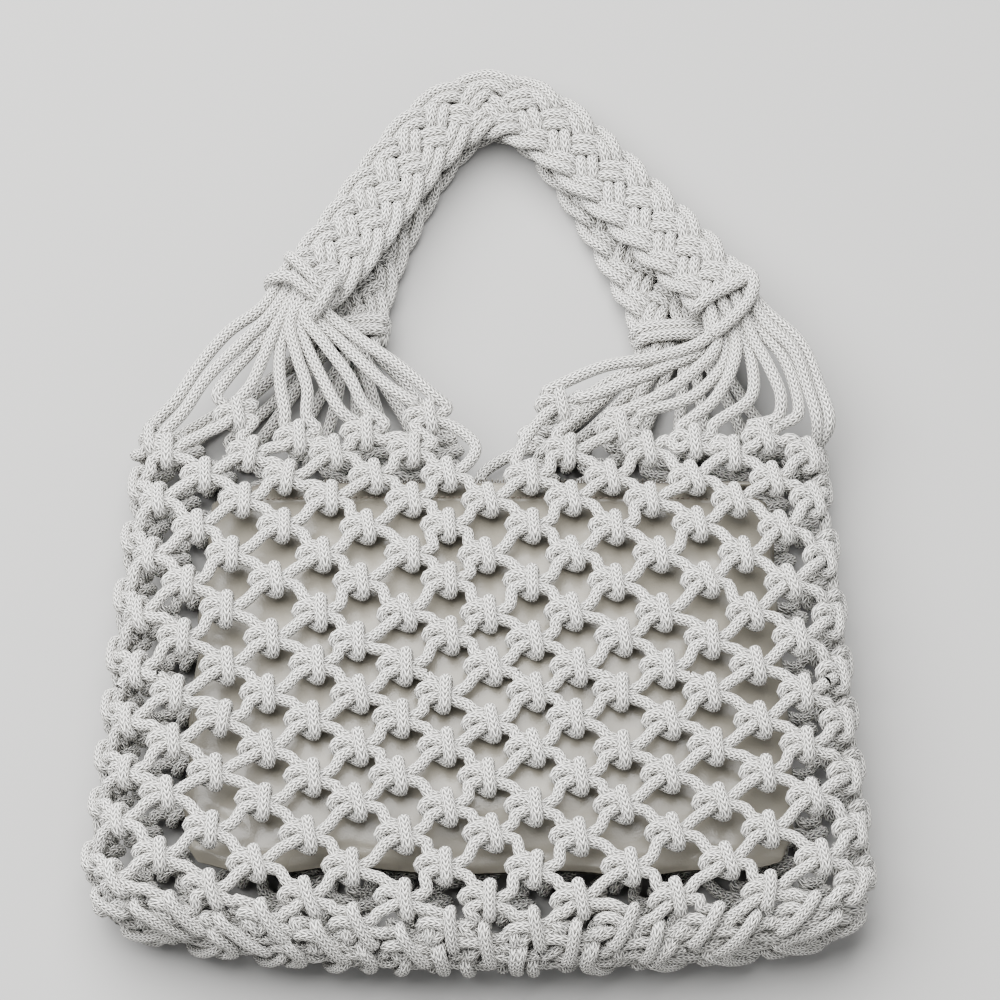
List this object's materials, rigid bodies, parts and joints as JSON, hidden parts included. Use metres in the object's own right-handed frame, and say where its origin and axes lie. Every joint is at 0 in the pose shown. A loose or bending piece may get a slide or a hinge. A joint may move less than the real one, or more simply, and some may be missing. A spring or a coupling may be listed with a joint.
{
  "type": "knotted net shoulder bag with an inner zip pouch",
  "caption": "Soft knotted cord net bag lying on its back, with flat plaited handles on fans of loose cords and a leather-look zip pouch inside",
  "frame": {"origin": "under the middle of the whole bag, on the surface that it lies on", "axes": "+X across the bag to the right, +Y from the bottom of the bag to the handles, +Z out of the front"},
  "size_m": [0.3248, 0.4222, 0.0543],
  "materials": {
    "net_cord": "knitted cotton and polyester cord, matte",
    "fan_cord": "knitted cotton and polyester cord, matte",
    "plaited_cord": "knitted cord plaited flat, matte",
    "pouch_leather": "smooth leather-look sheet with a soft sheen",
    "zip_tape": "woven tape",
    "zip_teeth": "moulded coil teeth"
  },
  "bodies": {
    "root": {"net_body": "net_cord", "fan_front_left": "fan_cord", "fan_front_right": "fan_cord", "fan_back_left": "fan_cord", "fan_back_right": "fan_cord", "handle_front": "plaited_cord", "handle_back": "plaited_cord", "lashing_front_left": "fan_cord", "lashing_front_right": "fan_cord", "lashing_back_left": "fan_cord", "lashing_back_right": "fan_cord", "pouch_body": "pouch_leather", "zip_tape": "zip_tape", "zip_teeth": "zip_teeth", "zip_end_tab": "pouch_leather"}
  },
  "joints": []
}
